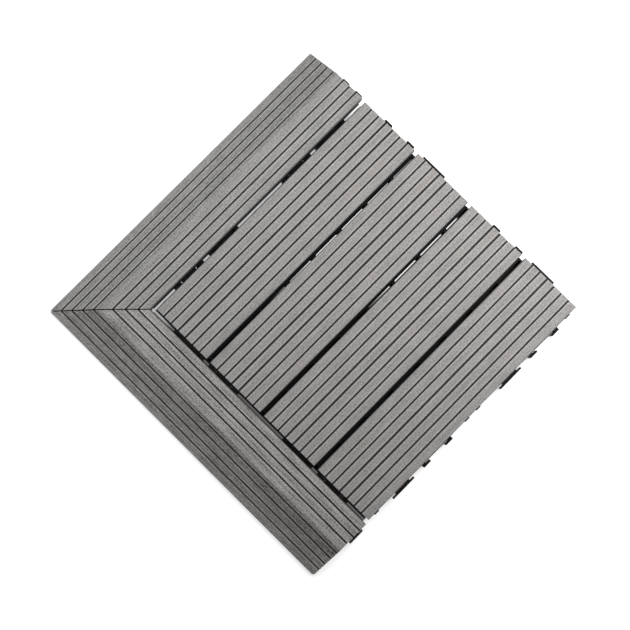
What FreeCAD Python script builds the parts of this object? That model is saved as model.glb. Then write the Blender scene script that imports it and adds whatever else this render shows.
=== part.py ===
import FreeCAD, Part
import math
import os

# Interlocking deck tile with a mitred corner edging, in millimetres, +Z up.
# Four grooved composite slats are screwed from below to a moulded lattice base. Two sloped
# edgings, mitred where they meet, are screwed to moulded strips that hook to the base.
# +X runs along the slats, away from the mitred corner, and +Y runs across them, towards
# the side edging. The origin is on the ground, at the middle of the part's outline.

# Slats
slat_count = 4
slat_width = 70.0
slat_gap = 5.0
slat_thickness = 10.0
slat_top_radius = 1.2
slat_bottom_chamfer = 0.6
slat_groove_count = 6
slat_groove_pitch = 10.0
slat_groove_width = 1.6
slat_middle_groove_width = 2.0
slat_groove_depth = 1.8

# Lattice base
base_height = 12.0
frame_inset = 4.5
frame_wall = 2.0
frame_corner_radius = 4.0
rib_wall = 2.0
rib_lift = 2.5
joint_rib_shift = 1.0
boss_radius = 6.5
pad_radius = 4.0
pad_height = 3.5
drain_width = 16.0
drain_height = 3.0

# Spacer nibs on the four sides of the base
nib_width = 6.0
nib_height = 8.0
nib_end_gap = 0.5
nib_from_corner = 13.0
nib_from_middle = 8.0

# T-locks: a head on a neck drops into a pair of hooked jaws, a pocket, on the next base
lock_near = 49.0
lock_far = 98.0
lock_reach = 2.0
lock_wall = 1.6
lock_lift = 1.0
lock_floor = 1.5
lock_roof = 2.0
lock_play = 0.8
lock_edge_radius = 0.7
head_width = 30.0
neck_width = 19.7
jaw_arm = 4.7
end_head_width = 18.0
end_neck_width = 7.4
end_jaw_arm = 3.3
end_lock_from_line = 18.3

# Edgings
edging_width = 76.0
edging_crest_from_line = 38.5
edging_crest_radius = 9.0
edging_end_inset = 1.5
edging_toe_height = 3.0
edging_toe_radius = 1.4
edging_toe_corner_radius = 3.0
edging_slope_wall = 7.5
edging_groove_width = 1.5
edging_groove_depth = 1.5
flat_groove_count = 3
flat_first_groove = 8.4
flat_groove_pitch = 8.9
slope_groove_count = 4
slope_first_groove = 4.6
slope_groove_pitch = 9.2
mitre_gap = 1.1

# Moulded strips that carry the edgings: each fills the hollow under the flat of its edging
strip_slope_clearance = 1.1
strip_mitre_setback = 3.0
strip_boss_from_rail = 10.0

# Screws
screw_head_radius = 3.9
screw_head_height = 2.4
screw_crown_radius = 2.5
screw_shank_radius = 1.9
screw_bite = 6.5
screw_point = 2.0
screw_seat_height = 6.5
head_clearance = 0.6
hole_clearance = 0.3
pilot_clearance = 0.05
pilot_spare_depth = 0.8

# Sizes and places that follow from the values above
slat_pitch = slat_width + slat_gap
module = slat_count * slat_pitch
slat_length = module - slat_gap
rib_pitch = slat_pitch / 2
rib_count = 2 * slat_count
total_height = base_height + slat_thickness
half_gap = slat_gap / 2

# The slope of an edging, and where the flat ceiling of the hollow below it bends downwards
slope_run = edging_width - edging_crest_from_line
slope_drop = total_height - edging_toe_height
slope_length = math.hypot(slope_run, slope_drop)
slope_wall_upright = edging_slope_wall * slope_length / slope_run
bend_depth = slat_thickness - slope_wall_upright
bend_from_line = edging_crest_from_line + bend_depth * slope_run / slope_drop
heel_from_line = bend_from_line + base_height * slope_run / slope_drop
strip_width = bend_from_line - strip_slope_clearance - frame_inset

# Plan coordinates: the base's square reaches from the mitred corner at (left, back)
left = edging_width - (module + lock_reach + edging_width) / 2
back = -left
right = left + module
front = back - module
middle = (left + right) / 2
tile_centre = FreeCAD.Vector(middle, -middle, 0)
up = FreeCAD.Vector(0, 0, 1)
origin = FreeCAD.Vector(0, 0, 0)


def plan(x, y):
    """Return the point (x, y) on the ground."""
    return FreeCAD.Vector(x, y, 0)


def section(y, z):
    """Return the point (y, z) in the plane that cuts across a board."""
    return FreeCAD.Vector(0, y, z)


def outline_face(corners, place):
    """Return a face whose corners (a, b, radius) are rounded where the radius isn't zero."""
    points = [place(a, b) for a, b, radius in corners]
    starts = []
    ends = []
    arcs = []
    for i, (a, b, radius) in enumerate(corners):
        corner = points[i]
        to_last = (points[i - 1] - corner).normalize()
        to_next = (points[(i + 1) % len(points)] - corner).normalize()
        if radius == 0:
            starts.append(corner)
            ends.append(corner)
            arcs.append(None)
            continue
        half_angle = to_last.getAngle(to_next) / 2
        tangent = radius / math.tan(half_angle)
        to_centre = (to_last + to_next).normalize()
        nearest = to_centre * (radius / math.sin(half_angle) - radius)
        starts.append(corner + to_last * tangent)
        ends.append(corner + to_next * tangent)
        arcs.append(Part.Arc(starts[i], corner + nearest, ends[i]).toShape())
    edges = []
    for i in range(len(points)):
        after = (i + 1) % len(points)
        if arcs[i]:
            edges.append(arcs[i])
        edges.append(Part.LineSegment(ends[i], starts[after]).toShape())
    return Part.Face(Part.Wire(edges))


def plan_solid(corners, bottom, top):
    """Return the upright solid over a plan outline, from one height to another."""
    face = outline_face(corners, plan)
    face.translate(up * bottom)
    return face.extrude(up * (top - bottom))


def block(x_low, x_high, y_low, y_high, bottom, top):
    """Return a box between the given planes."""
    corner = FreeCAD.Vector(x_low, y_low, bottom)
    return Part.makeBox(x_high - x_low, y_high - y_low, top - bottom, corner)


def rod(radius, bottom, top, x, y):
    """Return an upright cylinder."""
    return Part.makeCylinder(radius, top - bottom, FreeCAD.Vector(x, y, bottom), up)


def one_solid(shapes):
    """Fuse the shapes into one clean solid."""
    fused = shapes[0].multiFuse(shapes[1:]).removeSplitter()
    return fused.Solids[0] if len(fused.Solids) == 1 else fused


def turned(shape, quarter_turns):
    """Return a copy turned clockwise about the middle of the base, seen from above."""
    copy = shape.copy()
    copy.rotate(tile_centre, up, -90 * quarter_turns)
    return copy


def facing(shape, quarter_turns):
    """Return the copy that faces a side of the base from the other side of that line."""
    copy = shape.copy()
    copy.rotate(plan(middle, back), up, 180)
    return turned(copy, quarter_turns)


def on_end_side(shape):
    """Mirror a piece of the side edging across the mitre, onto the end edging."""
    return shape.mirror(plan(left, back), FreeCAD.Vector(1, 1, 0))


# Screws and the holes they need

def screw(x, y):
    """Return one pan-head screw, driven upwards from its seat inside a boss."""
    tip = base_height + screw_bite
    seat = screw_seat_height
    crown = seat - screw_head_height
    profile = [
        FreeCAD.Vector(0, 0, crown),
        FreeCAD.Vector(screw_crown_radius, 0, crown),
        FreeCAD.Vector(screw_head_radius, 0, seat - screw_head_height / 2),
        FreeCAD.Vector(screw_head_radius, 0, seat),
        FreeCAD.Vector(screw_shank_radius, 0, seat),
        FreeCAD.Vector(screw_shank_radius, 0, tip - screw_point),
        FreeCAD.Vector(0, 0, tip),
    ]
    solid = Part.Face(Part.makePolygon(profile + profile[:1])).revolve(origin, up, 360)
    solid.translate(plan(x, y))
    return solid


def boss_holes(x, y):
    """Return the counterbore and the through hole of one screw boss."""
    bore = rod(screw_head_radius + head_clearance, 0, screw_seat_height, x, y)
    hole = rod(screw_shank_radius + hole_clearance, 0, base_height, x, y)
    return bore.fuse(hole)


def pilot_holes(places):
    """Return the pilot holes that the screws at these places cut into a board."""
    depth = base_height + screw_bite + pilot_spare_depth
    return [rod(screw_shank_radius + pilot_clearance, base_height, depth, x, y) for x, y in places]


def slat_screw_places(number):
    """Return where the screws of one slat stand: on every second rib, under its middle line."""
    y = back - (number - 0.5) * slat_pitch
    return [(left + rib_pitch * (2 * i + 1), y) for i in range(slat_count)]


def edging_screw_places():
    """Return where the screws of the side edging stand."""
    y = back + frame_inset + strip_width / 2
    along = [(left + rib_pitch * (2 * i + 1), y) for i in range(slat_count)]
    corner = (left - rib_pitch / 2, back + frame_inset + strip_width - strip_boss_from_rail)
    return [corner] + along


# T-locks, drawn on a side that faces +Y, centred on x = 0, with the module line at y = 0

def jaws(head, neck, arm):
    """Return hooked jaws that hold a head of the given width, and the floor of their pocket."""
    pocket = head / 2 + lock_play
    throat = neck / 2 + lock_play
    tip = lock_reach
    hook = lock_reach - lock_wall
    root = -frame_inset - frame_wall / 2
    outline = [
        (pocket, root, 0),
        (pocket + arm, root, 0),
        (pocket + arm, tip, lock_edge_radius),
        (throat, tip, lock_edge_radius),
        (throat, hook, 0),
        (pocket, hook, 0),
    ]
    right_jaw = plan_solid(outline, lock_lift, base_height)
    left_jaw = right_jaw.mirror(origin, FreeCAD.Vector(1, 0, 0))
    floor = block(-pocket, pocket, root, 0, lock_lift, lock_lift + lock_floor)
    return [right_jaw, left_jaw, floor]


def tongue(head, neck):
    """Return a T-shaped tongue: a thin head on a neck that is hollow from below."""
    tip = lock_reach
    hook = lock_reach - lock_wall
    root = -frame_inset - frame_wall / 2
    outline = [
        (-neck / 2, root, 0),
        (neck / 2, root, 0),
        (neck / 2, hook, 0),
        (head / 2, hook, 0),
        (head / 2, tip, lock_edge_radius),
        (-head / 2, tip, lock_edge_radius),
        (-head / 2, hook, 0),
        (-neck / 2, hook, 0),
    ]
    bottom = lock_lift + lock_floor + lock_play
    hollow = neck / 2 - lock_wall
    solid = plan_solid(outline, bottom, base_height)
    return [solid.cut(block(-hollow, hollow, root, hook, bottom, base_height - lock_roof))]


def moved(shapes, x, y):
    """Shift the shapes in plan."""
    for shape in shapes:
        shape.translate(plan(x, y))
    return shapes


def lock_row():
    """Return the locks of the side that faces +Y: jaws and tongue, twice, clockwise."""
    row = []
    for at in (lock_near, module - lock_far):
        row += moved(jaws(head_width, neck_width, jaw_arm), left + at, back)
    for at in (lock_far, module - lock_near):
        row += moved(tongue(head_width, neck_width), left + at, back)
    return row


# Lattice base

def frame_ring():
    """Return the upright wall that runs round the base, a little inside its module."""
    outer = frame_inset
    inner = frame_inset + frame_wall
    walls = []
    for inset, radius in ((outer, frame_corner_radius), (inner, frame_corner_radius - frame_wall)):
        corners = [
            (left + inset, front + inset, radius),
            (right - inset, front + inset, radius),
            (right - inset, back - inset, radius),
            (left + inset, back - inset, radius),
        ]
        walls.append(plan_solid(corners, 0, base_height))
    return walls[0].cut(walls[1])


def rib_place(i):
    """Return the Y of the rib that runs under a slat (odd i) or, off centre, under a joint."""
    return back - i * rib_pitch + (0 if i % 2 else joint_rib_shift)


def ribs():
    """Return the lattice ribs, which stand clear of the ground so that water runs off."""
    low = frame_inset + frame_wall / 2
    shapes = []
    for i in range(1, rib_count):
        x = left + i * rib_pitch
        y = rib_place(i)
        half = rib_wall / 2
        shapes.append(block(x - half, x + half, front + low, back - low, rib_lift, base_height))
        shapes.append(block(left + low, right - low, y - half, y + half, rib_lift, base_height))
    return shapes


def pads():
    """Return the round feet under the rib crossings that carry no screw boss."""
    shapes = []
    for i in range(1, rib_count):
        for j in range(1, rib_count):
            if i % 2 and j % 2:
                continue
            shapes.append(rod(pad_radius, 0, pad_height, left + i * rib_pitch, rib_place(j)))
    return shapes


def nib_row():
    """Return the spacer nibs of the side that faces +Y."""
    places = [nib_from_corner, module / 2 - nib_from_middle]
    places += [module - at for at in places]
    shapes = []
    for at in places:
        x = left + at
        half = nib_width / 2
        inner = back - frame_inset - frame_wall / 2
        top = base_height
        shapes.append(block(x - half, x + half, inner, back - nib_end_gap, top - nib_height, top))
    return shapes


def drain_row():
    """Return the arched drain cut-outs of the side that faces +Y, one in each free bay."""
    shapes = []
    for bay in (0, slat_count - 1, slat_count, rib_count - 1):
        x = left + (bay + 0.5) * rib_pitch
        half = drain_width / 2
        deep = back - frame_inset - frame_wall - rib_wall
        arch = [
            (x - half, 0, 0),
            (x + half, 0, 0),
            (x + half, drain_height, drain_height / 2),
            (x - half, drain_height, drain_height / 2),
        ]
        face = outline_face(arch, lambda a, b: FreeCAD.Vector(a, deep, b))
        shapes.append(face.extrude(FreeCAD.Vector(0, back - deep, 0)))
    return shapes


def make_base():
    """Return the moulded lattice base with its locks, bosses, feet and drains."""
    places = [place for number in range(1, slat_count + 1) for place in slat_screw_places(number)]
    solids = [frame_ring()] + ribs() + pads()
    solids += [rod(boss_radius, 0, base_height, x, y) for x, y in places]
    for turn in range(4):
        solids += [turned(shape, turn) for shape in lock_row() + nib_row()]
    cuts = [boss_holes(x, y) for x, y in places]
    for turn in range(4):
        cuts += [turned(shape, turn) for shape in drain_row()]
    return one_solid(solids).cut(cuts)


# Slats

def groove(point, normal, width, depth):
    """Return the square section of a groove cut into a surface at a point."""
    along = FreeCAD.Vector(0, normal.z, -normal.y)
    side = along * (width / 2)
    over = normal * depth
    corners = [point - side - over, point + side - over, point + side + over, point - side + over]
    return Part.Face(Part.makePolygon(corners + corners[:1]))


def make_slat(number):
    """Return one grooved slat, with the pilot holes of its screws."""
    centre = back - (number - 0.5) * slat_pitch
    low = centre - slat_width / 2
    high = centre + slat_width / 2
    outline = [
        (low + slat_bottom_chamfer, base_height, 0),
        (high - slat_bottom_chamfer, base_height, 0),
        (high, base_height + slat_bottom_chamfer, 0),
        (high, total_height, slat_top_radius),
        (low, total_height, slat_top_radius),
        (low, base_height + slat_bottom_chamfer, 0),
    ]
    grooves = []
    for i in range(slat_groove_count):
        from_middle = i - (slat_groove_count - 1) / 2
        width = slat_middle_groove_width if abs(from_middle) < 1 else slat_groove_width
        point = section(centre + from_middle * slat_groove_pitch, total_height)
        grooves.append(groove(point, up, width, slat_groove_depth))
    profile = outline_face(outline, section).cut(grooves)
    profile.translate(plan(left + half_gap, 0))
    slat = profile.extrude(plan(slat_length, 0))
    return slat.cut(pilot_holes(slat_screw_places(number)))


# Edgings

def edging_profile():
    """Return the section of an edging: a flat, a slope to a thin toe, and the hollow below."""
    inner = back + half_gap
    crest = back + edging_crest_from_line
    toe = back + edging_width
    normal = FreeCAD.Vector(0, slope_drop, slope_run).normalize()
    outline = [
        (inner, base_height, 0),
        (back + bend_from_line, base_height, 0),
        (back + heel_from_line, 0, 0),
        (toe, 0, 0),
        (toe, edging_toe_height, edging_toe_radius),
        (crest, total_height, edging_crest_radius),
        (inner, total_height, slat_top_radius),
    ]
    grooves = []
    for i in range(flat_groove_count):
        y = inner + flat_first_groove + i * flat_groove_pitch
        point = section(y, total_height)
        grooves.append(groove(point, up, edging_groove_width, edging_groove_depth))
    for i in range(slope_groove_count):
        share = (slope_first_groove + i * slope_groove_pitch) / slope_length
        point = section(crest + slope_run * share, total_height - slope_drop * share)
        grooves.append(groove(point, normal, edging_groove_width, edging_groove_depth))
    return outline_face(outline, section).cut(grooves)


def beyond_mitre(setback):
    """Return the space on the far side of the mitre plane, less a setback measured squarely."""
    shift = setback * math.sqrt(2)
    reach = 2 * edging_width
    corners = [
        (left + shift, back, 0),
        (left + shift - reach, back + reach, 0),
        (left + shift - reach - module, back + reach, 0),
        (left + shift - reach - module, back - reach, 0),
        (left + shift + reach, back - reach, 0),
    ]
    return plan_solid(corners, -total_height, 2 * total_height)


def make_edging():
    """Return the side edging, mitred at the corner and cut square at its free end."""
    start = left - edging_width
    end = right - edging_end_inset
    profile = edging_profile()
    profile.translate(plan(start, 0))
    edging = profile.extrude(plan(end - start, 0))
    edging = edging.cut(beyond_mitre(mitre_gap / 2))
    return edging.cut(pilot_holes(edging_screw_places()))


def worn_corner(edging):
    """Round the toe's free corner in plan, as on the end edging."""
    end = right - edging_end_inset
    toe = back + edging_width
    radius = edging_toe_corner_radius
    corner = block(end - radius, end, toe - radius, toe, 0, total_height)
    corner = corner.cut(rod(radius, 0, total_height, end - radius, toe - radius))
    return edging.cut(corner)


# Strips under the edgings

def strip_body():
    """Return the ladder strip under the side edging, without its locks or its holes."""
    near = back + frame_inset
    far = near + strip_width
    end = right - frame_inset
    start = left - edging_width
    half = rib_wall / 2
    walls = [
        block(start, end, near, near + frame_wall, 0, base_height),
        block(start, end, far - frame_wall, far, 0, base_height),
        block(end - frame_wall, end, near, far, 0, base_height),
    ]
    stations = [left - rib_pitch / 2] + [left + i * rib_pitch for i in range(rib_count)]
    for x in stations:
        walls.append(block(x - half, x + half, near + half, far - half, rib_lift, base_height))
    walls += [rod(boss_radius, 0, base_height, x, y) for x, y in edging_screw_places()]
    body = one_solid(walls).cut(beyond_mitre(strip_mitre_setback))
    slant = beyond_mitre(strip_mitre_setback + frame_wall).cut(beyond_mitre(strip_mitre_setback))
    limits = block(start, end, near, far, 0, base_height)
    return one_solid([body, slant.common(limits)])


def make_side_strip():
    """Return the strip of the side edging, with jaws at its free end."""
    locks = [facing(shape, 0) for shape in lock_row()]
    for shape in jaws(end_head_width, end_neck_width, end_jaw_arm):
        shape.rotate(origin, up, -90)
        shape.translate(plan(right, back + end_lock_from_line))
        locks.append(shape)
    holes = [boss_holes(x, y) for x, y in edging_screw_places()]
    return one_solid([strip_body()] + locks).cut(holes)


def make_end_strip():
    """Return the strip of the end edging, with a tongue at its free end."""
    locks = [facing(shape, 3) for shape in lock_row()]
    for shape in tongue(end_head_width, end_neck_width):
        shape.rotate(origin, up, 180)
        shape.translate(plan(left - end_lock_from_line, front))
        locks.append(shape)
    holes = [on_end_side(boss_holes(x, y)) for x, y in edging_screw_places()]
    return one_solid([on_end_side(strip_body())] + locks).cut(holes)


# Assembly: one named shape for each sub-part
nodes = {"tile_base": make_base()}
for number in range(1, slat_count + 1):
    nodes[f"slat_{number}"] = make_slat(number)
    screws = [screw(x, y) for x, y in slat_screw_places(number)]
    nodes[f"slat_{number}_screws"] = Part.makeCompound(screws)
nodes["side_edging"] = make_edging()
nodes["end_edging"] = on_end_side(worn_corner(make_edging()))
nodes["side_edging_strip"] = make_side_strip()
nodes["end_edging_strip"] = make_end_strip()
edging_screws = [screw(x, y) for x, y in edging_screw_places()]
nodes["side_edging_screws"] = Part.makeCompound(edging_screws)
nodes["end_edging_screws"] = Part.makeCompound([on_end_side(shape) for shape in edging_screws])

os.makedirs("parts", exist_ok=True)
for name, shape in nodes.items():
    shape.exportStep(f"parts/{name}.step")
    print(name, len(shape.Solids), "solids", round(shape.Volume / 1000, 2), "cm3", shape.isValid())
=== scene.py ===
import math

import bpy
from mathutils import Matrix, Vector


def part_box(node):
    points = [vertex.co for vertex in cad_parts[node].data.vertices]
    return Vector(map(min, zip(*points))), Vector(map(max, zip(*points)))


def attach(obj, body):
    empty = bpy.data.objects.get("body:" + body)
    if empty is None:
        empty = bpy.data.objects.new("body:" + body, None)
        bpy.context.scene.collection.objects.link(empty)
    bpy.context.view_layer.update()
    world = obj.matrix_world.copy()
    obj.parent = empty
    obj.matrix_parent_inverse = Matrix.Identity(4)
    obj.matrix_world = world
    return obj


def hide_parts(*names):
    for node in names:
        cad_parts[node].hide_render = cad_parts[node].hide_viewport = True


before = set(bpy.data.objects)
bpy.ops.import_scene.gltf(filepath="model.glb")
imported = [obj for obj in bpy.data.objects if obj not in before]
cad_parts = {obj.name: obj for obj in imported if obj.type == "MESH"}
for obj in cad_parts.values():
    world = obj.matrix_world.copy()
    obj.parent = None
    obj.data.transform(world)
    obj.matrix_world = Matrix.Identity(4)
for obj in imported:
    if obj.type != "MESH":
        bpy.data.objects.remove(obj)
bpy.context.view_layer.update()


# Camera
# It looks almost straight down at the tile from about 1.1 m, as a catalogue camera on a boom
# does, with the tile's mitred corner to the left and its slats running up to the right.

mm = 0.001
photo_width = 630
focal_pixels = 1114.0
sensor_width = 36.0
nearest_in_view = 10 * mm
camera_place = Vector((-65.95, -58.55, 1126.3)) * mm
camera_target = Vector((-4.1, -5.15, 22.0)) * mm
camera_up = Vector((0.7087, 0.7016, 0.0735))


def add_object(name, data):
    """Put an object with the given data into the scene and return it."""
    added = bpy.data.objects.new(name, data)
    bpy.context.scene.collection.objects.link(added)
    return added


camera_data = bpy.data.cameras.new("catalogue_camera")
camera_data.sensor_width = sensor_width
camera_data.lens = focal_pixels / photo_width * sensor_width
camera_data.clip_start = nearest_in_view
camera = add_object("catalogue_camera", camera_data)
look = (camera_target - camera_place).normalized()
right_hand = look.cross(camera_up).normalized()
upwards = right_hand.cross(look)
camera_turn = Matrix((right_hand, upwards, -look)).transposed().to_4x4()
camera.matrix_world = Matrix.Translation(camera_place) @ camera_turn
bpy.context.scene.camera = camera


# Studio
# A plain white table under two soft boxes, a strong one past the right of the tile and a weak one
# past its back, in an even white room. The table reads as white to the camera, a little less so
# next to the tile, where a soft shadow is painted into its emission. Under the tile it is painted
# dark as shade, apart from slivers of painted light below four gaps.

table_half_width = 4.0
table_colour = (0.84, 0.84, 0.84, 1.0)
# The table's colour under the tile is painted shade, dark as the shadow there
painted_shade_under_tile = (0.05, 0.05, 0.05, 1.0)
table_roughness = 0.9
table_specular = 0.1
paper_grain = {"Scale": 900.0}
paper_relief = {"Distance": 0.02 * mm}

# How much the table glows for the camera, what the far table gets on top and what the painted
# shadow takes away next to the tile, and the distances from the origin and from the tile's outline
# where they begin and reach their full strength
table_lift = 0.7
far_lift = 0.3
far_reach = (300 * mm, 900 * mm)
painted_shadow_drop = -0.12
painted_shadow_reach = (-14 * mm, -2 * mm)
outline_blur = (1 * mm, -1 * mm)

# The tile's outline on the table, from the corner between the slats and the two edgings
half_gap = 2.5 * mm
slats_low, slats_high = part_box("slat_1")
tile_corner = Vector((slats_low.x - half_gap, slats_high.y + half_gap))
tile_reach = 296.5 * mm
edging_reach = 74.8 * mm

# Each sliver is painted light: a pale strip on the shaded table below a gap, where light falls
# through. It runs along the back or the end of the slats, its middle so far inward of the tile's
# corner. It fades from its core to its edge, has a level that rises along its length, and fades
# out towards its far end.
painted_light_slivers = [
    {"from": "back", "middle": -2.2 * mm, "edge": 1.6 * mm, "core": 0.4 * mm,
     "level": 0.55, "rise": 0.45, "rises": (274 * mm, 288 * mm), "fades": (312 * mm, 302 * mm)},
    {"from": "end", "middle": -1.4 * mm, "edge": 1.7 * mm, "core": 0.4 * mm,
     "level": 0.11, "rise": 0.32, "rises": (26 * mm, 8 * mm), "fades": (330 * mm, 320 * mm)},
    {"from": "back", "middle": 74.25 * mm, "edge": 1.4 * mm, "core": 0.6 * mm,
     "level": 0.0, "rise": 1.6, "rises": (85 * mm, 160 * mm), "fades": (320 * mm, 205 * mm)},
    {"from": "back", "middle": 150.3 * mm, "edge": 1.0 * mm, "core": 0.4 * mm,
     "level": 0.0, "rise": 1.0, "rises": (145 * mm, 200 * mm), "fades": (284 * mm, 280 * mm)},
]

room_strength = 0.12

# Name, place in metres and power in watts of each soft box, which all face the tile's top
soft_boxes = [
    ("right_soft_box", Vector((0.41, -0.165, 0.39)), 3.15),
    ("back_soft_box", Vector((-0.04, 0.285, 0.38)), 1.1),
]
soft_box_aim = Vector((0.0, 0.0, 0.022))
soft_box_size = 0.45


def node(tree, kind, inputs=None, **settings):
    """Add a node, set its options, and fill its inputs with values or with other nodes' outputs."""
    made = tree.nodes.new(kind)
    for option, value in settings.items():
        setattr(made, option, value)
    for key, value in (inputs or {}).items():
        if isinstance(value, bpy.types.NodeSocket):
            tree.links.new(value, made.inputs[key])
        else:
            made.inputs[key].default_value = value
    return made


def out(tree, kind, inputs=None, **settings):
    """Add a node in the same way and return its first output."""
    return node(tree, kind, inputs, **settings).outputs[0]


def calc(tree, operation, *values):
    """Return the result of a math node on the given values or outputs."""
    return out(tree, "ShaderNodeMath", dict(enumerate(values)), operation=operation)


def product(tree, *values):
    """Return the product of the given values or outputs."""
    result = values[0]
    for value in values[1:]:
        result = calc(tree, "MULTIPLY", result, value)
    return result


def remap(tree, value, old, new, **settings):
    """Return a value carried over from one range (start, end) to another."""
    given = {"Value": value, "From Min": old[0], "From Max": old[1], "To Min": new[0], "To Max": new[1]}
    return out(tree, "ShaderNodeMapRange", given, **settings)


def ramp(tree, value, ends):
    """Return a value that eases from 0 to 1 between two ends."""
    return remap(tree, value, ends, (0.0, 1.0), interpolation_type="SMOOTHSTEP")


def mix(tree, factor, first, second):
    """Return a colour that goes from the first to the second as the factor goes from 0 to 1."""
    return out(tree, "ShaderNodeMixRGB", {"Fac": factor, "Color1": first, "Color2": second})


def parts(tree, vector):
    """Return the X, Y and Z outputs of a vector."""
    return node(tree, "ShaderNodeSeparateXYZ", {0: vector}).outputs


def noise(tree, place, grain):
    """Return noise at the given place, with the scale and detail of the given grain."""
    return out(tree, "ShaderNodeTexNoise", {"Vector": place, **grain})


def bumped(tree, height, relief):
    """Return a normal that follows a height, with the distance and strength of a relief."""
    return out(tree, "ShaderNodeBump", {"Height": height, **relief})


def empty_material(name):
    """Return a new material with nothing but its output node, its tree and that node."""
    material = bpy.data.materials.new(name)
    material.use_nodes = True
    material.node_tree.nodes.clear()
    return material, material.node_tree, material.node_tree.nodes.new("ShaderNodeOutputMaterial")


def seen_directly(tree):
    """Return 1 for the camera and for what it sees mirrored or through something clear, else 0."""
    path = node(tree, "ShaderNodeLightPath").outputs
    mirrored = calc(tree, "MAXIMUM", path["Is Glossy Ray"], path["Is Transmission Ray"])
    return calc(tree, "MAXIMUM", path["Is Camera Ray"], mirrored)


def table_material():
    """Return white paper that glows outside the tile, with a painted shadow next to it, painted shade
    under it and slivers of painted light below its gaps.
    """
    material, tree, output = empty_material("white_table")
    coords = node(tree, "ShaderNodeTexCoord").outputs["Object"]
    ground = parts(tree, coords)
    inwards = {
        "end": calc(tree, "SUBTRACT", ground["X"], tile_corner.x),
        "back": calc(tree, "SUBTRACT", tile_corner.y, ground["Y"]),
    }
    nearest = calc(tree, "MINIMUM", inwards["end"], inwards["back"])
    farthest = calc(tree, "MAXIMUM", inwards["end"], inwards["back"])
    past_edgings = calc(tree, "ADD", nearest, edging_reach)
    before_rim = calc(tree, "SUBTRACT", tile_reach, farthest)
    inside_by = calc(tree, "MINIMUM", past_edgings, before_rim)
    outside = ramp(tree, inside_by, outline_blur)
    # Painted shadow: the table's emission drops next to the tile's outline
    painted_shadow = ramp(tree, inside_by, painted_shadow_reach)
    far_off = calc(
        tree, "MAXIMUM", calc(tree, "ABSOLUTE", ground["X"]), calc(tree, "ABSOLUTE", ground["Y"])
    )
    open_lift = calc(tree, "MULTIPLY_ADD", ramp(tree, far_off, far_reach), far_lift, table_lift)
    shine_with_painted_light = product(tree, outside, calc(tree, "MULTIPLY_ADD", painted_shadow, painted_shadow_drop, open_lift))
    # Painted light: pale slivers on the shaded table below the gaps
    for painted_sliver in painted_light_slivers:
        across = inwards[painted_sliver["from"]]
        along = inwards["back" if painted_sliver["from"] == "end" else "end"]
        off_middle = calc(tree, "ABSOLUTE", calc(tree, "SUBTRACT", across, painted_sliver["middle"]))
        width = ramp(tree, off_middle, (painted_sliver["edge"], painted_sliver["core"]))
        risen = ramp(tree, along, painted_sliver["rises"])
        level = calc(tree, "MULTIPLY_ADD", risen, painted_sliver["rise"], painted_sliver["level"])
        painted_light = product(tree, width, level, ramp(tree, along, painted_sliver["fades"]))
        shine_with_painted_light = calc(tree, "MAXIMUM", shine_with_painted_light, painted_light)
    # The emission carries the even white backdrop, the painted shadow and the slivers of painted light
    glow_with_painted_light = out(tree, "ShaderNodeEmission", {"Strength": product(tree, shine_with_painted_light, seen_directly(tree))})
    # Painted shade: the paper's colour turns dark under the tile
    paper = out(tree, "ShaderNodeBsdfPrincipled", {
        "Base Color": mix(tree, outside, painted_shade_under_tile, table_colour),
        "Roughness": table_roughness, "Specular IOR Level": table_specular,
        "Normal": bumped(tree, noise(tree, coords, paper_grain), paper_relief),
    })
    both = out(tree, "ShaderNodeAddShader", {0: paper, 1: glow_with_painted_light})
    tree.links.new(both, output.inputs["Surface"])
    return material


reach = table_half_width
table_corners = [(-reach, -reach, 0), (reach, -reach, 0), (reach, reach, 0), (-reach, reach, 0)]
table_mesh = bpy.data.meshes.new("table")
table_mesh.from_pydata(table_corners, [], [(0, 1, 2, 3)])
table_mesh.materials.append(table_material())
table = add_object("table", table_mesh)

room = bpy.data.worlds.new("white_room")
room.use_nodes = True
room_tree = room.node_tree
room_tree.nodes.clear()
brightness = remap(room_tree, seen_directly(room_tree), (0.0, 1.0), (room_strength, 1.0))
walls = out(room_tree, "ShaderNodeBackground", {"Color": (1, 1, 1, 1), "Strength": brightness})
room_tree.links.new(walls, node(room_tree, "ShaderNodeOutputWorld").inputs["Surface"])
bpy.context.scene.world = room

for name, place, power in soft_boxes:
    lamp = bpy.data.lights.new(name, "AREA")
    lamp.size = soft_box_size
    lamp.energy = power
    soft_box = add_object(name, lamp)
    soft_box.location = place
    soft_box.rotation_euler = (soft_box_aim - place).to_track_quat("-Z", "Y").to_euler()
    soft_box.visible_camera = False
bpy.context.scene.view_settings.view_transform = "Standard"


# Slats
# Four boards of wood flour and plastic, extruded with six grooves each and cut to length. The
# ridges are wire-brushed along the board, which leaves fine lines and a lighter, matt face, and
# the grooves keep the darker skin of the die, painted darker still as shade. A paler band next
# to each groove's arris is a painted highlight.

slat_names = ["slat_1", "slat_2", "slat_3", "slat_4"]
slat_top_radius = 1.2 * mm
slat_bottom_radius = 0.5 * mm
slat_groove_pitch = 10.0 * mm
slat_groove_widths = [1.6 * mm, 1.6 * mm, 2.0 * mm, 2.0 * mm, 1.6 * mm, 1.6 * mm]
slat_groove_depth = 1.8 * mm
slat_seed_step = 3.0
arris_radius = 0.3 * mm
root_radius = 0.35 * mm
arc_step = math.radians(24)
face_step = 0.45 * mm
station_step = 5.0 * mm
sharp_board_edge = 40

# Depths below the face between which the brushed surface gives way to the skin of the die, which
# also carries painted shade, and how far from its arris a point still belongs to a groove
skin_and_shade_depths = (0.04 * mm, 0.35 * mm)
groove_reach = 2.6 * mm

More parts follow.
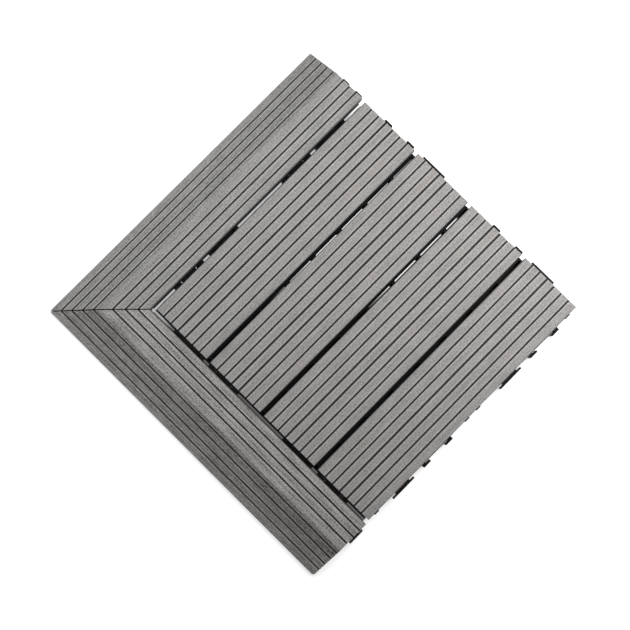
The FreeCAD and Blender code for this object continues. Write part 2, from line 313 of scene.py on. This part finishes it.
# The brush's lines, and the range of its noise from fully bitten to untouched
brush_depth = 0.05 * mm
brush_line_width = 1.2 * mm
brush_line_length = 60 * mm
brush_grain = {"Scale": 1.0, "Detail": 2.0, "Roughness": 0.6}
brush_noise = (0.35, 0.65)

# Length along the board and width across it in millimetres, and detail, of each pattern of the
# look, and the range of its noise that is spread from -1 to 1
grain_sizes = {
    "fine lines": (24, 0.8, 2.0),
    "broad lines": (90, 3.2, 2.0),
    "flecks": (1.7, 1.0, 1.0),
    "patches": (16, 9, 2.0),
    "hue": (34, 15, 3.0),
}
grain_noise = (0.3, 0.7)
broad_line_share = 0.25
line_height = 0.6
face_relief = {"Strength": 0.6, "Distance": 0.05 * mm}

# Distances from a groove's arris where the painted highlight next to it comes and goes, and
# heights between which painted shade darkens the edgings' slopes past the crest and painted light
# lightens them again to the toe
painted_highlight_comes = (0.2 * mm, 0.8 * mm)
painted_highlight_goes = (2.0 * mm, 1.1 * mm)
painted_shade_heights = (21.97 * mm, 21.7 * mm)
painted_toe_light_heights = (20.0 * mm, 4.0 * mm)

# The skin in the grooves and on the sides is the die's darker skin, painted darker still as shade
groove_skin_and_painted_shade = (0.040, 0.039, 0.038, 1)
side_skin_and_painted_shade = (0.150, 0.146, 0.142, 1)
cut_colour = (0.230, 0.220, 0.210, 1)
cut_facing = 0.5
face_and_side_roughness = (0.8, 0.6)
composite_specular = 0.15
slat_faces = ((0.322, 0.318, 0.313, 1), (0.335, 0.317, 0.306, 1))
# Lines, flecks and patches are wear and grain; the pale arris is a painted highlight
slat_wear_and_painted_highlight = {"Lines": 0.13, "Flecks": 0.34, "Patches": 0.06, "Pale Arris": 0.26}


def groove_corners(place, along, inward, width, depth):
    """Return the four rounded corners (point, radius) of a groove, in walking order."""
    near = place - along * (width / 2)
    far = place + along * (width / 2)
    floor = inward * depth
    return [
        (near, arris_radius), (near + floor, root_radius),
        (far + floor, root_radius), (far, arris_radius),
    ]


def rounded(corners):
    """Return the points of a closed outline whose corners (point, radius) are rounded."""
    points = []
    for i, (corner, radius) in enumerate(corners):
        if radius == 0:
            points.append(corner)
            continue
        to_last = (corners[i - 1][0] - corner).normalized()
        to_next = (corners[(i + 1) % len(corners)][0] - corner).normalized()
        half_angle = to_last.angle(to_next) / 2
        centre = corner + (to_last + to_next).normalized() * (radius / math.sin(half_angle))
        first = corner + to_last * (radius / math.tan(half_angle)) - centre
        last = corner + to_next * (radius / math.tan(half_angle)) - centre
        turn = first.angle_signed(last)
        steps = max(2, math.ceil(abs(turn) / arc_step))
        for step in range(steps + 1):
            points.append(centre + Matrix.Rotation(-turn * step / steps, 2) @ first)
    return points


def section_mesh(name, corners, depth_below_face):
    """Return a board's section as a ring of edges.

    Each point knows its depth below the face, its distance from the nearest arris of a groove,
    and its depth inside a groove.
    """
    points = rounded(corners)
    mouths = [corner for corner, radius in corners if radius == arris_radius]
    ring = []
    for start, end in zip(points, points[1:] + points[:1]):
        on_face = max(depth_below_face(start), depth_below_face(end)) < skin_and_shade_depths[0]
        steps = max(1, round((end - start).length / face_step)) if on_face else 1
        ring += [start.lerp(end, step / steps) for step in range(steps)]
    mesh = bpy.data.meshes.new(name)
    edges = [(i, (i + 1) % len(ring)) for i in range(len(ring))]
    mesh.from_pydata([(point.x, point.y, 0) for point in ring], edges, [])
    depth = [depth_below_face(point) for point in ring]
    arris = [min((point - mouth).length for mouth in mouths) for point in ring]
    groove = [low if near < groove_reach else 0.0 for low, near in zip(depth, arris)]
    for attribute, values in (("depth", depth), ("arris", arris), ("groove", groove)):
        mesh.attributes.new(attribute, "FLOAT", "POINT").data.foreach_set("value", values)
    return mesh


def open_tree(name, sockets, result):
    """Return a new geometry tree with the given inputs and one result, and its inputs."""
    tree = bpy.data.node_groups.new(name, "GeometryNodeTree")
    for socket_name, kind, value in sockets:
        socket = tree.interface.new_socket(name=socket_name, in_out="INPUT", socket_type=kind)
        if value is not None:
            socket.default_value = value
    tree.interface.new_socket(name=result, in_out="OUTPUT", socket_type="NodeSocketGeometry")
    return tree, tree.nodes.new("NodeGroupInput").outputs


def close_tree(tree, geometry, material):
    """End a geometry tree: make instances real, set the material and hand over the result."""
    whole = out(tree, "GeometryNodeRealizeInstances", {"Geometry": geometry})
    finished = out(tree, "GeometryNodeSetMaterial", {"Geometry": whole, "Material": material})
    tree.links.new(finished, tree.nodes.new("NodeGroupOutput").inputs[0])


def drawn_up(tree, outline, stations, caps):
    """Return a curve in the XY plane drawn up from Z = 0 to Z = 1 in the given stations."""
    line = out(tree, "GeometryNodeCurvePrimitiveLine", {"Start": (0, 0, 0), "End": (0, 0, 1)})
    path = out(tree, "GeometryNodeResampleCurve", {"Curve": line, "Count": stations})
    given = {"Curve": path, "Profile Curve": outline, "Fill Caps": caps}
    return out(tree, "GeometryNodeCurveToMesh", given)


def moved(tree, geometry, x, y, z):
    """Return the geometry with its points moved to the given coordinates."""
    place = out(tree, "ShaderNodeCombineXYZ", {"X": x, "Y": y, "Z": z})
    return out(tree, "GeometryNodeSetPosition", {"Geometry": geometry, "Position": place})


def board_tree():
    """Build the tree that draws a section out into a board, cuts its ends and brushes its face."""
    tree, given = open_tree("extruded_board", [
        ("Section", "NodeSocketGeometry", None), ("Start", "NodeSocketFloat", 0.0),
        ("Mitre Slope", "NodeSocketFloat", 0.0), ("End", "NodeSocketFloat", 0.3),
        ("Toe", "NodeSocketFloat", 1.0), ("Toe Corner Radius", "NodeSocketFloat", 0.0),
        ("Stations", "NodeSocketInt", 60), ("Brush Depth", "NodeSocketFloat", brush_depth),
        ("Line Width", "NodeSocketFloat", brush_line_width),
        ("Line Length", "NodeSocketFloat", brush_line_length),
        ("Seed", "NodeSocketFloat", 0.0), ("Material", "NodeSocketMaterial", None),
    ], "Board")
    ring = out(tree, "GeometryNodeMeshToCurve", {"Mesh": given["Section"]})
    drawn = drawn_up(tree, ring, given["Stations"], True)

    raw = parts(tree, out(tree, "GeometryNodeInputPosition"))
    radius = given["Toe Corner Radius"]
    start = calc(tree, "MULTIPLY_ADD", raw["X"], given["Mitre Slope"], given["Start"])
    corner_starts = calc(tree, "SUBTRACT", given["Toe"], radius)
    into = calc(tree, "MAXIMUM", calc(tree, "SUBTRACT", raw["X"], corner_starts), 0.0)
    left = calc(tree, "SUBTRACT", product(tree, radius, radius), product(tree, into, into))
    chord = calc(tree, "SQRT", calc(tree, "MAXIMUM", left, 0.0))
    end = calc(tree, "SUBTRACT", given["End"], calc(tree, "SUBTRACT", radius, chord))
    along = remap(tree, raw["Z"], (0.0, 1.0), (start, end), clamp=False)
    placed = moved(tree, drawn, along, raw["X"], raw["Y"])

    place = parts(tree, out(tree, "GeometryNodeInputPosition"))
    lines = out(tree, "ShaderNodeCombineXYZ", {
        "X": calc(tree, "DIVIDE", place["X"], given["Line Length"]),
        "Y": calc(tree, "DIVIDE", place["Y"], given["Line Width"]),
        "Z": given["Seed"],
    })
    bite = remap(tree, noise(tree, lines, brush_grain), brush_noise, (-1.0, 0.0))
    depth = out(tree, "GeometryNodeInputNamedAttribute", {"Name": "depth"}, data_type="FLOAT")
    on_face = remap(tree, depth, skin_and_shade_depths, (1.0, 0.0))
    sunk = product(tree, bite, on_face, given["Brush Depth"])
    normal = out(tree, "GeometryNodeInputNormal")
    down = out(tree, "ShaderNodeVectorMath", {0: normal, "Scale": sunk}, operation="SCALE")
    upright = out(tree, "ShaderNodeVectorMath", {0: down, 1: (0, 1, 1)}, operation="MULTIPLY")
    worn = out(tree, "GeometryNodeSetPosition", {"Geometry": placed, "Offset": upright})
    close_tree(tree, worn, given["Material"])
    return tree


def made_by(tree, name, mesh, values):
    """Run a tree on a mesh with the given inputs and return the result as a plain piece."""
    maker = add_object(name + "_maker", mesh)
    modifier = maker.modifiers.new("maker", "NODES")
    modifier.node_group = tree
    for item in tree.interface.items_tree:
        if item.in_out == "INPUT" and item.name in values:
            modifier[item.identifier] = values[item.name]
    bpy.context.view_layer.update()
    evaluated = maker.evaluated_get(bpy.context.evaluated_depsgraph_get())
    result = bpy.data.meshes.new_from_object(evaluated)
    bpy.data.objects.remove(maker)
    result.name = name
    return add_object(name, result)


def crisp(piece, degrees):
    """Shade a piece smooth, apart from its edges that turn by more than the given angle."""
    piece.data.shade_smooth()
    piece.data.set_sharp_from_angle(angle=math.radians(degrees))


def composite_group():
    """Build the shared look of brushed composite.

    It takes a point's place and normal, turned so that the board runs along X, with its depth and
    its distance from an arris, and how strong each kind of wear and painted light is: a painted
    highlight next to the grooves, painted shade past the crest and painted light towards the toe.
    It gives the tone and warmth of the face, how far the groove's skin, the side's skin, both with
    painted shade, or a saw cut takes over, and a relief.
    """
    group = bpy.data.node_groups.new("brushed_composite", "ShaderNodeTree")
    sockets = [
        ("INPUT", "NodeSocketVector", ("Place", "Facing")),
        ("INPUT", "NodeSocketFloat", ("Depth", "Arris", "Groove", "Lines", "Flecks", "Patches")),
        ("INPUT", "NodeSocketFloat", ("Pale Arris", "Slope Shade", "Toe Light")),
        ("OUTPUT", "NodeSocketFloat", ("Tone", "Warmth", "Groove Skin And Painted Shade", "Side Skin And Painted Shade")),
        ("OUTPUT", "NodeSocketFloat", ("Cut", "Relief")),
    ]
    for side, kind, names in sockets:
        for name in names:
            group.interface.new_socket(name=name, in_out=side, socket_type=kind)
    given = group.nodes.new("NodeGroupInput").outputs

    patterns = {}
    for name, (along, across, detail) in grain_sizes.items():
        scale = (1 / (along * mm), 1 / (across * mm), 1 / (across * mm))
        stretch = {0: given["Place"], 1: scale}
        stretched = out(group, "ShaderNodeVectorMath", stretch, operation="MULTIPLY")
        spots = noise(group, stretched, {"Scale": 1.0, "Detail": detail})
        patterns[name] = remap(group, spots, grain_noise, (-1.0, 1.0))

    comes = ramp(group, given["Arris"], painted_highlight_comes)
    goes = ramp(group, given["Arris"], painted_highlight_goes)
    height = parts(group, given["Place"])["Z"]
    wear_and_painted_light = {
        "Lines": calc(
            group, "MULTIPLY_ADD", patterns["broad lines"], broad_line_share, patterns["fine lines"]
        ),
        "Flecks": patterns["flecks"],
        "Patches": patterns["patches"],
        "Pale Arris": product(group, comes, goes),
        "Slope Shade": ramp(group, height, painted_shade_heights),
        "Toe Light": ramp(group, height, painted_toe_light_heights),
    }
    # Wear, the painted highlight next to the grooves and the painted shade and light of the slopes
    # change the tone
    tone = 1.0
    for name, amount in wear_and_painted_light.items():
        tone = calc(group, "MULTIPLY_ADD", amount, given[name], tone)
    facing = parts(group, given["Facing"])
    results = {
        "Tone": tone,
        "Warmth": remap(group, patterns["hue"], (-1.0, 1.0), (0.0, 1.0)),
        "Groove Skin And Painted Shade": ramp(group, given["Groove"], skin_and_shade_depths),
        "Side Skin And Painted Shade": ramp(group, given["Depth"], skin_and_shade_depths),
        "Cut": calc(group, "GREATER_THAN", calc(group, "ABSOLUTE", facing["X"]), cut_facing),
        "Relief": calc(
            group, "MULTIPLY_ADD", patterns["fine lines"], line_height, patterns["flecks"]
        ),
    }
    ends = group.nodes.new("NodeGroupOutput")
    for name, value in results.items():
        group.links.new(value, ends.inputs[name])
    return group


def finish_material(tree, output, look):
    """End a material with a Principled BSDF that has the given inputs."""
    shader = out(tree, "ShaderNodeBsdfPrincipled", look)
    tree.links.new(shader, output.inputs["Surface"])


composite_look = composite_group()


def composite_material(name, turn, faces, wear_and_painted_light):
    """Return the material of a board whose brushed lines are turned from the X axis."""
    material, tree, output = empty_material(name)
    coords = node(tree, "ShaderNodeTexCoord").outputs["Object"]
    normal = node(tree, "ShaderNodeNewGeometry").outputs["Normal"]
    turned = {"Rotation": (0, 0, turn)}
    given = {
        "Place": out(tree, "ShaderNodeMapping", {"Vector": coords, **turned}),
        "Facing": out(tree, "ShaderNodeMapping", {"Vector": normal, **turned}, vector_type="VECTOR"),
    }
    for attribute in ("depth", "arris", "groove"):
        read = node(tree, "ShaderNodeAttribute", attribute_name=attribute)
        given[attribute.capitalize()] = read.outputs["Fac"]
    look = node(tree, "ShaderNodeGroup", node_tree=composite_look)
    for key, value in given.items():
        tree.links.new(value, look.inputs[key])
    for key, value in wear_and_painted_light.items():
        look.inputs[key].default_value = value
    shown = look.outputs
    face = mix(tree, shown["Warmth"], *faces)
    # The tone carries wear and grain, the painted highlight and the slopes' painted shade and light
    toned = out(tree, "ShaderNodeVectorMath", {0: face, "Scale": shown["Tone"]}, operation="SCALE")
    # Painted shade: the sides and grooves take the die's skin, painted darker still
    colour = mix(tree, shown["Side Skin And Painted Shade"], toned, side_skin_and_painted_shade)
    colour = mix(tree, shown["Groove Skin And Painted Shade"], colour, groove_skin_and_painted_shade)
    colour = mix(tree, shown["Cut"], colour, cut_colour)
    finish_material(tree, output, {
        "Base Color": colour,
        "Roughness": remap(tree, shown["Side Skin And Painted Shade"], (0.0, 1.0), face_and_side_roughness),
        "Specular IOR Level": composite_specular,
        "Normal": bumped(tree, shown["Relief"], face_relief),
    })
    return material


extruded_board = board_tree()
slat_composite = composite_material("slat_composite", 0.0, slat_faces, slat_wear_and_painted_highlight)

for index, name in enumerate(slat_names):
    low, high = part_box(name)
    slat_top = high.z
    middle = (low.y + high.y) / 2
    face = [(Vector((low.y, slat_top)), slat_top_radius)]
    for i, width in enumerate(slat_groove_widths):
        across = middle + (i - (len(slat_groove_widths) - 1) / 2) * slat_groove_pitch
        place = Vector((across, slat_top))
        face += groove_corners(place, Vector((1, 0)), Vector((0, -1)), width, slat_groove_depth)
    face.append((Vector((high.y, slat_top)), slat_top_radius))
    corners = [
        (Vector((low.y, low.z)), slat_bottom_radius),
        (Vector((high.y, low.z)), slat_bottom_radius),
    ]
    corners += reversed(face)
    section = section_mesh(name + "_section", corners, lambda point: slat_top - point.y)
    slat = made_by(extruded_board, name + "_board", section, {
        "Start": low.x, "End": high.x, "Toe": high.y,
        "Stations": round((high.x - low.x) / station_step),
        "Seed": slat_seed_step * index, "Material": slat_composite,
    })
    crisp(slat, sharp_board_edge)
    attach(slat, "root")
    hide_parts(name)


# Edgings
# Two extrusions of the same composite, each with a flat as thick as the slats, a soft crest and
# a slope to a thin toe. They are mitred at the corner and cut square at their free ends, and
# the end edging's toe has lost its sharp corner.

edging_crest_from_line = 38.5 * mm
edging_width = 76.0 * mm
edging_toe_height = 3.0 * mm
edging_slope_wall = 7.5 * mm
edging_groove_width = 1.5 * mm
edging_groove_depth = 1.5 * mm
edging_crest_radius = 3.0 * mm
edging_inner_radius = 1.2 * mm
edging_toe_radius = 1.4 * mm
edging_toe_corner_radius = 3.0 * mm
edging_first_seed = 20.0
flat_grooves = [8.4 * mm, 17.3 * mm, 26.2 * mm]
slope_grooves = [4.6 * mm, 13.8 * mm, 23.0 * mm, 32.2 * mm]
mitre_gap = 1.1 * mm
side_faces = ((0.315, 0.314, 0.309, 1), (0.327, 0.315, 0.304, 1))
# Slope Shade paints shade on the slope past the crest, Toe Light paints light towards the toe, and Pale
# Arris paints a highlight next to each groove
side_wear_and_painted_light = {
    "Lines": 0.18, "Flecks": 0.38, "Patches": 0.06, "Pale Arris": 0.26,
    "Slope Shade": -0.08, "Toe Light": 0.12,
}
# The end edging is the same board as the side edging; its colours are a little lighter as painted light,
# and its painted slope shade and toe light are stronger
end_faces_with_painted_light = ((0.328, 0.321, 0.314, 1), (0.340, 0.322, 0.309, 1))
end_wear_and_painted_light = {
    "Lines": 0.38, "Flecks": 0.48, "Patches": 0.07, "Pale Arris": 0.28,
    "Slope Shade": -0.15, "Toe Light": 0.30,
}
edgings = [
    ("side_edging", 0.0, 0.0, side_faces, side_wear_and_painted_light),
    ("end_edging", math.pi / 2, edging_toe_corner_radius, end_faces_with_painted_light, end_wear_and_painted_light),
]
across_mitre = Matrix(((0, -1, 0, 0), (-1, 0, 0, 0), (0, 0, 1, 0), (0, 0, 0, 1)))

# The side edging's section, from the inner bottom edge round by the toe and the crest. The end
# edging is the same board seen in the mitre.
low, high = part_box("side_edging")
base_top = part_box("slat_1")[0].z
inner = low.y
crest = Vector((high.y - edging_width + edging_crest_from_line, high.z))
toe = Vector((high.y, edging_toe_height))
downhill = (toe - crest).normalized()
outward = Vector((-downhill.y, downhill.x))
hollow = crest - outward * edging_slope_wall
bend = hollow + downhill * ((base_top - hollow.y) / downhill.y)
heel = hollow + downhill * (-hollow.y / downhill.y)
corners = [
    (Vector((inner, base_top)), 0.0), (bend, 0.0), (heel, 0.0),
    (Vector((toe.x, 0.0)), 0.0), (toe, edging_toe_radius),
]
for distance in reversed(slope_grooves):
    place = crest + downhill * distance
    corners += groove_corners(place, -downhill, -outward, edging_groove_width, edging_groove_depth)
corners.append((crest, edging_crest_radius))
for distance in reversed(flat_grooves):
    place = Vector((inner + distance, high.z))
    corners += groove_corners(
        place, Vector((-1, 0)), Vector((0, -1)), edging_groove_width, edging_groove_depth
    )
corners.append((Vector((inner, high.z)), edging_inner_radius))


def edging_depth(point):
    """Return how far a point of the edging's section lies below its flat or its slope."""
    return min(crest.y - point.y, outward.dot(crest - point))


for index, (name, turn, toe_corner, faces, wear_and_painted_light) in enumerate(edgings):
    material = composite_material(name + "_composite", turn, faces, wear_and_painted_light)
    section = section_mesh(name + "_section", corners, edging_depth)
    edging = made_by(extruded_board, name + "_board", section, {
        "Start": mitre_gap / math.sqrt(2), "Mitre Slope": -1.0, "End": high.x, "Toe": toe.x,
        "Toe Corner Radius": toe_corner, "Stations": round((high.x - low.x) / station_step),
        "Seed": edging_first_seed + index, "Material": material,
    })
    if name == "end_edging":
        edging.data.transform(across_mitre)
        edging.data.flip_normals()
    crisp(edging, sharp_board_edge)
    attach(edging, "root")
    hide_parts(name)


# Base and strips
# Black injection-moulded plastic: the lattice base with its locks, and the ladder strips under
# the edgings. The mould left a fine grain on their satin faces, and handling a few dull scuffs.

mould_grain = {"Scale": 2600.0, "Detail": 2.0}
mould_relief = {"Strength": 0.5, "Distance": 0.03 * mm}
scuff_grain = {"Scale": 90.0, "Detail": 4.0}
scuff_noise = (0.45, 0.75)
clean_plastic = (0.002, 0.002, 0.002, 1)
scuffed_plastic = (0.006, 0.006, 0.006, 1)
plastic_roughness = (0.3, 0.5)
plastic_specular = 0.10


def moulding_material():
    """Return black moulded plastic with a fine mould grain and faint scuffs."""
    material, tree, output = empty_material("black_moulding")
    coords = node(tree, "ShaderNodeTexCoord").outputs["Object"]
    scuffs = noise(tree, coords, scuff_grain)
    scuffed = remap(tree, scuffs, scuff_noise, (0.0, 1.0))
    finish_material(tree, output, {
        "Base Color": mix(tree, scuffed, clean_plastic, scuffed_plastic),
        "Roughness": remap(tree, scuffs, (0.0, 1.0), plastic_roughness),
        "Specular IOR Level": plastic_specular,
        "Normal": bumped(tree, noise(tree, coords, mould_grain), mould_relief),
    })
    return material


black_moulding = moulding_material()
for name in ("tile_base", "side_edging_strip", "end_edging_strip"):
    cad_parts[name].data.materials.clear()
    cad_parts[name].data.materials.append(black_moulding)


# Screws
# Zinc-plated pan-head screws with a cross recess, cold-formed and thread-rolled. They are driven
# from below through the bosses into the boards, four to a slat and five to an edging.

screw_head_radius = 3.9 * mm
screw_crown_radius = 2.5 * mm
screw_seat_radius = 3.6 * mm
screw_core_radius = 1.35 * mm
screw_shank_radius = 1.85 * mm
screw_head_height = 2.4 * mm
shank_length = 3.5 * mm
shank_taper = 0.5 * mm
point_length = 3.2 * mm
thread_radius = 1.9 * mm
thread_height = 0.37 * mm
thread_pitch = 1.6 * mm
thread_resolution = 24
thread_sides = 3
recess_depth = 1.5 * mm
recess_width = 0.75 * mm
recess_length = 3.8 * mm
weld_distance = 0.001 * mm
screws_in_row = 4
screw_pitch = 75 * mm
sharp_screw_edge = 35
steel_clouds = {"Scale": 700.0, "Detail": 3.0}
steel_relief = {"Strength": 0.3, "Distance": 0.02 * mm}
dull_steel = (0.36, 0.36, 0.37, 1)
bright_steel = (0.62, 0.60, 0.56, 1)
steel_roughness = (0.28, 0.48)

low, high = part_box("slat_1_screws")
crown_height = low.z
seat_height = crown_height + screw_head_height
thread_starts = seat_height + shank_length
tip_height = high.z
thread_length = tip_height - point_length - thread_starts - thread_height

# Radius and height of each corner of the turned profile, from the crown to the tip
screw_outline = [
    (0.0, crown_height),
    (screw_crown_radius - 0.6 * mm, crown_height),
    (screw_crown_radius, crown_height + 0.05 * mm),
    (3.2 * mm, crown_height + 0.4 * mm),
    (3.7 * mm, crown_height + 0.9 * mm),
    (screw_head_radius, crown_height + 1.5 * mm),
    (screw_head_radius, seat_height - 0.3 * mm),
    (screw_seat_radius, seat_height),
    (screw_shank_radius, seat_height),
    (screw_shank_radius, thread_starts),
    (screw_core_radius, thread_starts + shank_taper),
    (screw_core_radius, tip_height - point_length),
    (0.0, tip_height),
]


def turned_screws_tree():
    """Build the tree that turns a profile into a screw, threads it and sets it at each place."""
    tree, given = open_tree("turned_screws", [
        ("Places", "NodeSocketGeometry", None), ("Profile", "NodeSocketObject", None),
        ("Segments", "NodeSocketInt", 40), ("Thread Radius", "NodeSocketFloat", thread_radius),
        ("Thread Start", "NodeSocketFloat", 0.0), ("Thread Length", "NodeSocketFloat", 0.0),
        ("Thread Turns", "NodeSocketFloat", 5.0), ("Thread Height", "NodeSocketFloat", 0.0),
        ("Recess Depth", "NodeSocketFloat", recess_depth),
        ("Recess Width", "NodeSocketFloat", recess_width),
        ("Recess Length", "NodeSocketFloat", recess_length), ("Crown", "NodeSocketFloat", 0.0),
        ("Seed", "NodeSocketInt", 0), ("Material", "NodeSocketMaterial", None),
    ], "Screws")

    profile = node(tree, "GeometryNodeObjectInfo", {"Object": given["Profile"]})
    outline = out(tree, "GeometryNodeMeshToCurve", {"Mesh": profile.outputs["Geometry"]})
    drawn = drawn_up(tree, outline, calc(tree, "ADD", given["Segments"], 1), False)
    raw = parts(tree, out(tree, "GeometryNodeInputPosition"))
    angle = calc(tree, "MULTIPLY", raw["Z"], 2 * math.pi)
    x = calc(tree, "MULTIPLY", raw["X"], calc(tree, "COSINE", angle))
    y = calc(tree, "MULTIPLY", raw["X"], calc(tree, "SINE", angle))
    turned = moved(tree, drawn, x, y, raw["Y"])
    body = out(tree, "GeometryNodeMergeByDistance", {"Geometry": turned, "Distance": weld_distance})

    cut = node(tree, "GeometryNodeMeshBoolean", {"Mesh 1": body}, operation="DIFFERENCE", solver="EXACT")
    crown = out(tree, "ShaderNodeCombineXYZ", {"Z": given["Crown"]})
    size = out(tree, "ShaderNodeCombineXYZ", {
        "X": given["Recess Length"], "Y": given["Recess Width"],
        "Z": calc(tree, "MULTIPLY", given["Recess Depth"], 2.0),
    })
    for turn in (0.0, math.pi / 2):
        bar = out(tree, "GeometryNodeMeshCube", {"Size": size})
        slot = out(tree, "GeometryNodeTransform", {
            "Geometry": bar, "Translation": crown, "Rotation": (0.0, 0.0, turn),
        })
        tree.links.new(slot, cut.inputs["Mesh 2"])

    spiral = out(tree, "GeometryNodeCurveSpiral", {
        "Resolution": thread_resolution, "Rotations": given["Thread Turns"],
        "Start Radius": given["Thread Radius"], "End Radius": given["Thread Radius"],
        "Height": given["Thread Length"],
    })
    ridge = out(tree, "GeometryNodeCurvePrimitiveCircle", {
        "Resolution": thread_sides, "Radius": given["Thread Height"],
    })
    thread = out(tree, "GeometryNodeCurveToMesh", {
        "Curve": spiral, "Profile Curve": ridge, "Fill Caps": True,
    })
    up = out(tree, "ShaderNodeCombineXYZ", {"Z": given["Thread Start"]})
    raised = out(tree, "GeometryNodeTransform", {"Geometry": thread, "Translation": up})
    screw = node(tree, "GeometryNodeJoinGeometry", {"Geometry": cut.outputs["Mesh"]})
    tree.links.new(raised, screw.inputs[0])

    spin = node(tree, "FunctionNodeRandomValue", {"Seed": given["Seed"]}, data_type="FLOAT")
    about = calc(tree, "MULTIPLY", spin.outputs[1], 2 * math.pi)
    placed = out(tree, "GeometryNodeInstanceOnPoints", {
        "Points": given["Places"], "Instance": screw.outputs[0],
        "Rotation": out(tree, "ShaderNodeCombineXYZ", {"Z": about}),
    })
    close_tree(tree, placed, given["Material"])
    return tree


def steel_material():
    """Return zinc-plated steel, a little cloudy and pitted."""
    material, tree, output = empty_material("screw_steel")
    coords = node(tree, "ShaderNodeTexCoord").outputs["Object"]
    clouds = noise(tree, coords, steel_clouds)
    finish_material(tree, output, {
        "Base Color": mix(tree, clouds, dull_steel, bright_steel), "Metallic": 1.0,
        "Roughness": remap(tree, clouds, (0.0, 1.0), steel_roughness),
        "Normal": bumped(tree, clouds, steel_relief),
    })
    return material


def screw_places(name):
    """Return where the screws of a node stand: four in a row, and a fifth near the mitre."""
    low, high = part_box(name)
    near = Vector((low.x, low.y, 0)) + Vector((1, 1, 0)) * screw_head_radius
    far = Vector((high.x, high.y, 0)) - Vector((1, 1, 0)) * screw_head_radius
    steps = [screw_pitch * i for i in range(screws_in_row)]
    if name.startswith("slat"):
        return [near + Vector((step, 0, 0)) for step in steps]
    at_mitre = [Vector((near.x, far.y, 0))]
    if name.startswith("side"):
        return at_mitre + [Vector((far.x - step, near.y, 0)) for step in steps]
    return at_mitre + [Vector((far.x, near.y + step, 0)) for step in steps]


profile_mesh = bpy.data.meshes.new("screw_profile")
profile_edges = [(i, i + 1) for i in range(len(screw_outline) - 1)]
profile_mesh.from_pydata([(r, z, 0) for r, z in screw_outline], profile_edges, [])
screw_profile = add_object("screw_profile", profile_mesh)
turned_screws = turned_screws_tree()
screw_steel = steel_material()
screw_nodes = [board + "_screws" for board in slat_names + ["side_edging", "end_edging"]]

for index, name in enumerate(screw_nodes):
    places = bpy.data.meshes.new(name + "_places")
    places.from_pydata(screw_places(name), [], [])
    screws = made_by(turned_screws, name + "_turned", places, {
        "Profile": screw_profile, "Crown": crown_height, "Seed": index, "Material": screw_steel,
        "Thread Radius": thread_radius - thread_height, "Thread Height": thread_height,
        "Thread Start": thread_starts, "Thread Length": thread_length,
        "Thread Turns": thread_length / thread_pitch,
    })
    crisp(screws, sharp_screw_edge)
    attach(screws, "root")
    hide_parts(name)
bpy.data.objects.remove(screw_profile)
